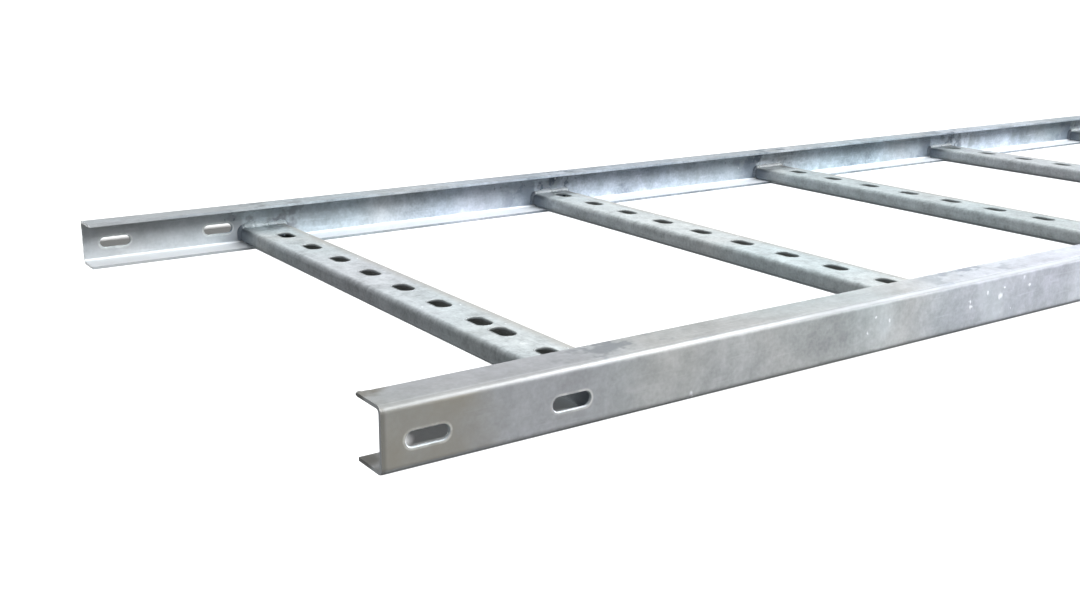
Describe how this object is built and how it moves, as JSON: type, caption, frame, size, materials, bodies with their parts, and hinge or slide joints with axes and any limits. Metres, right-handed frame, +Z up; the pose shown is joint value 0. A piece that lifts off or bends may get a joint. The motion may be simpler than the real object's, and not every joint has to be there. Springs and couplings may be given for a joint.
{
  "type": "cable ladder section",
  "caption": "Straight galvanised steel cable ladder section: channel side rails with slotted rungs welded between them, carrying cables on supports.",
  "frame": {"origin": "centre of the base, on the plane that the lower flanges rest on", "axes": "+X along the ladder, +Y across it towards the left rail, +Z up through the open side that the cables are laid in from"},
  "size_m": [3, 0.504, 0.035],
  "materials": {
    "rail_zinc": "hot-dip galvanised, matt and mottled",
    "rung_zinc": "hot-dip galvanised, matt and mottled"
  },
  "bodies": {
    "root": {"side_rail_left": "rail_zinc", "side_rail_right": "rail_zinc", "rung_01": "rung_zinc", "rung_02": "rung_zinc", "rung_03": "rung_zinc", "rung_04": "rung_zinc", "rung_05": "rung_zinc", "rung_06": "rung_zinc", "rung_07": "rung_zinc", "rung_08": "rung_zinc", "rung_09": "rung_zinc", "rung_10": "rung_zinc"}
  },
  "joints": []
}
